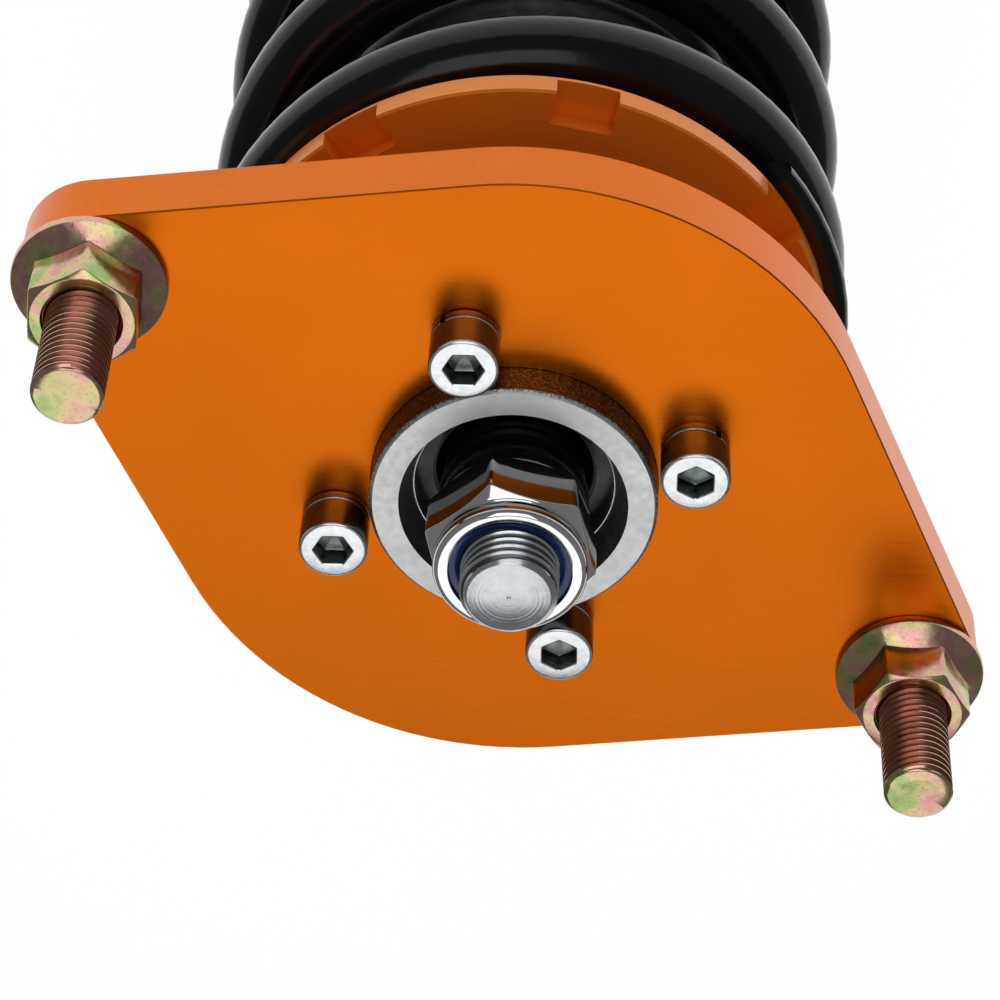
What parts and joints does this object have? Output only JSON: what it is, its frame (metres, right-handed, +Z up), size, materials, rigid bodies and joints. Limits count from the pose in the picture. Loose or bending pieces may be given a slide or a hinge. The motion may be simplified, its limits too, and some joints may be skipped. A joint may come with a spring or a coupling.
{
  "type": "coilover",
  "caption": "Coilover strut: two-stud spherical-bearing top plate, notched spring seat, coil spring, threaded damper body with adjustable perch and bushed lower eye.",
  "frame": {"origin": "on the strut's axis, in the plane of the mount plate's upper face, which meets the car's strut tower", "axes": "+Z up the strut towards the car body, +X along the line through the two studs and along the lower eye's bore"},
  "size_m": [0.1588, 0.1034, 0.452],
  "materials": {
    "orange_anodise": "satin anodised",
    "yellow_zinc": "iridescent yellow zinc plate",
    "bright_zinc": "bright zinc plate",
    "turned_steel": "satin turned",
    "bearing_steel": "dark polished",
    "sliding_liner": "matt",
    "black_oxide": "black oxide",
    "chrome": "polished",
    "blue_nylon": "satin",
    "black_paint": "gloss",
    "bump_foam": "closed-cell foam",
    "black_rubber": "matt",
    "zinc_nickel": "satin zinc-nickel",
    "slip_plastic": "satin",
    "spring_steel": "tempered strip",
    "alloy": "turned",
    "bronze": "sintered"
  },
  "bodies": {
    "top_mount": {"mount_plate": "orange_anodise", "mount_studs": "yellow_zinc", "stud_nuts": "yellow_zinc", "cap_screws": "bright_zinc", "spring_washers": "bright_zinc", "bearing_housing": "turned_steel", "bearing_race": "bearing_steel", "bearing_circlip": "spring_steel"},
    "liner": {"bearing_liner": "sliding_liner"},
    "ball": {"bearing_ball": "bearing_steel"},
    "rod": {"upper_spacer": "black_oxide", "lower_spacer": "black_oxide", "rod_nut": "chrome", "rod_nut_insert": "blue_nylon", "piston_rod": "chrome", "seat_washer": "bright_zinc", "upper_spring_seat": "orange_anodise", "bump_stop": "bump_foam", "dust_boot": "black_rubber", "shim_stop_plate": "bright_zinc", "compression_shims": "spring_steel", "rebound_shims": "spring_steel", "piston": "alloy", "piston_band": "sliding_liner", "piston_nut": "bright_zinc", "rebound_stop": "slip_plastic"},
    "damper": {"damper_tube": "zinc_nickel", "tube_end_cap": "zinc_nickel", "gas_plug": "bright_zinc", "gland_nut": "alloy", "rod_wiper": "black_rubber", "rod_guide": "alloy", "rod_seal": "black_rubber", "guide_bush": "bronze", "guide_o_ring": "black_rubber"},
    "gas_piston": {"floating_piston": "alloy", "floating_piston_o_ring": "black_rubber"},
    "spring_rest": {"spring_isolator": "slip_plastic", "coil_spring": "black_paint"},
    "perch": {"spring_perch": "orange_anodise", "perch_lock_ring": "orange_anodise"},
    "bracket_ring": {"bracket_lock_ring": "orange_anodise"},
    "bracket": {"lower_bracket": "black_paint", "bush_shell": "bright_zinc", "bush_rubber": "black_rubber"},
    "eye_sleeve": {"bush_sleeve": "bright_zinc"}
  },
  "joints": [
    {"name": "bearing_tilt_x", "type": "hinge", "parent": "top_mount", "child": "liner", "pos_m": [0, 0, -0.0085], "axis": [1, 0, 0], "range_deg": [-8, 8]},
    {"name": "bearing_tilt_y", "type": "hinge", "parent": "liner", "child": "ball", "pos_m": [0, 0, -0.0085], "axis": [0, 1, 0], "range_deg": [-8, 8]},
    {"name": "rod_swivel", "type": "hinge", "parent": "ball", "child": "rod", "pos_m": [0, 0, -0.0085], "axis": [0, 0, 1], "continuous": true},
    {"name": "damper_stroke", "type": "slide", "parent": "rod", "child": "damper", "axis": [0, 0, 1], "range_m": [0, 0.06], "stiffness_N_per_m": 50000, "springref_m": -0.002, "deforming": ["coil_spring", "dust_boot"]},
    {"name": "gas_piston_float", "type": "slide", "parent": "damper", "child": "gas_piston", "axis": [0, 0, 1], "range_m": [-0.0145, 0]},
    {"name": "perch_height", "type": "slide", "parent": "damper", "child": "spring_rest", "axis": [0, 0, 1], "range_m": [-0.03, 0]},
    {"name": "perch_turn", "type": "hinge", "parent": "spring_rest", "child": "perch", "pos_m": [0, 0, -0.22], "axis": [0, 0, 1], "range_deg": [-5400, 0]},
    {"name": "bracket_height", "type": "slide", "parent": "damper", "child": "bracket_ring", "axis": [0, 0, 1], "range_m": [-0.025, 0]},
    {"name": "bracket_turn", "type": "hinge", "parent": "bracket_ring", "child": "bracket", "pos_m": [0, 0, -0.3], "axis": [0, 0, 1], "range_deg": [-4500, 0]},
    {"name": "bush_twist", "type": "hinge", "parent": "bracket", "child": "eye_sleeve", "pos_m": [0, 0, -0.4], "axis": [1, 0, 0], "range_deg": [-15, 15], "stiffness_Nm_per_rad": 0.5}
  ],
  "couplings": [
    {"joint": "gas_piston_float", "follows": "damper_stroke", "ratio": -0.239},
    {"joint": "perch_height", "follows": "perch_turn", "m_per_rad": 0.0003183},
    {"joint": "bracket_height", "follows": "bracket_turn", "m_per_rad": 0.0003183}
  ]
}
